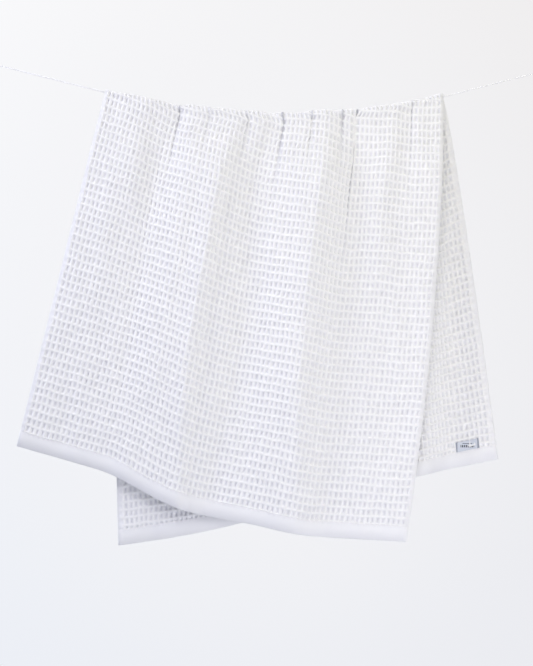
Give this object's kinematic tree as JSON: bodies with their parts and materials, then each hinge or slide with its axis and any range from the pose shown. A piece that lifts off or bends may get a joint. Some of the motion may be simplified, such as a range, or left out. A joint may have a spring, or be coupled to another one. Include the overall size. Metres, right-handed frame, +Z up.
{
  "type": "hand towel draped over a taut line between two wall eyes",
  "caption": "Waffle-weave hand towel with plain hems, folded askew over a thin taut line that runs between two small wall eyes.",
  "frame": {"origin": "centre of the left wall eye's flat back face", "axes": "+X from the left wall to the right wall along the line, +Z up, the towel's front panel faces -Y"},
  "size_m": [0.712, 0.0655, 0.6023],
  "materials": {
    "towel_cotton": "white waffle-weave cotton with plain selvedges and hems",
    "label_tape": "plain blue-grey woven tape",
    "line_cord": "smooth white braided cord",
    "wall_eye_steel": "zinc-plated, satin"
  },
  "bodies": {
    "root": {"towel": "towel_cotton", "label": "label_tape", "line": "line_cord", "line_loop_left": "line_cord", "line_loop_right": "line_cord", "wall_eye_left": "wall_eye_steel", "wall_eye_right": "wall_eye_steel"}
  },
  "joints": []
}
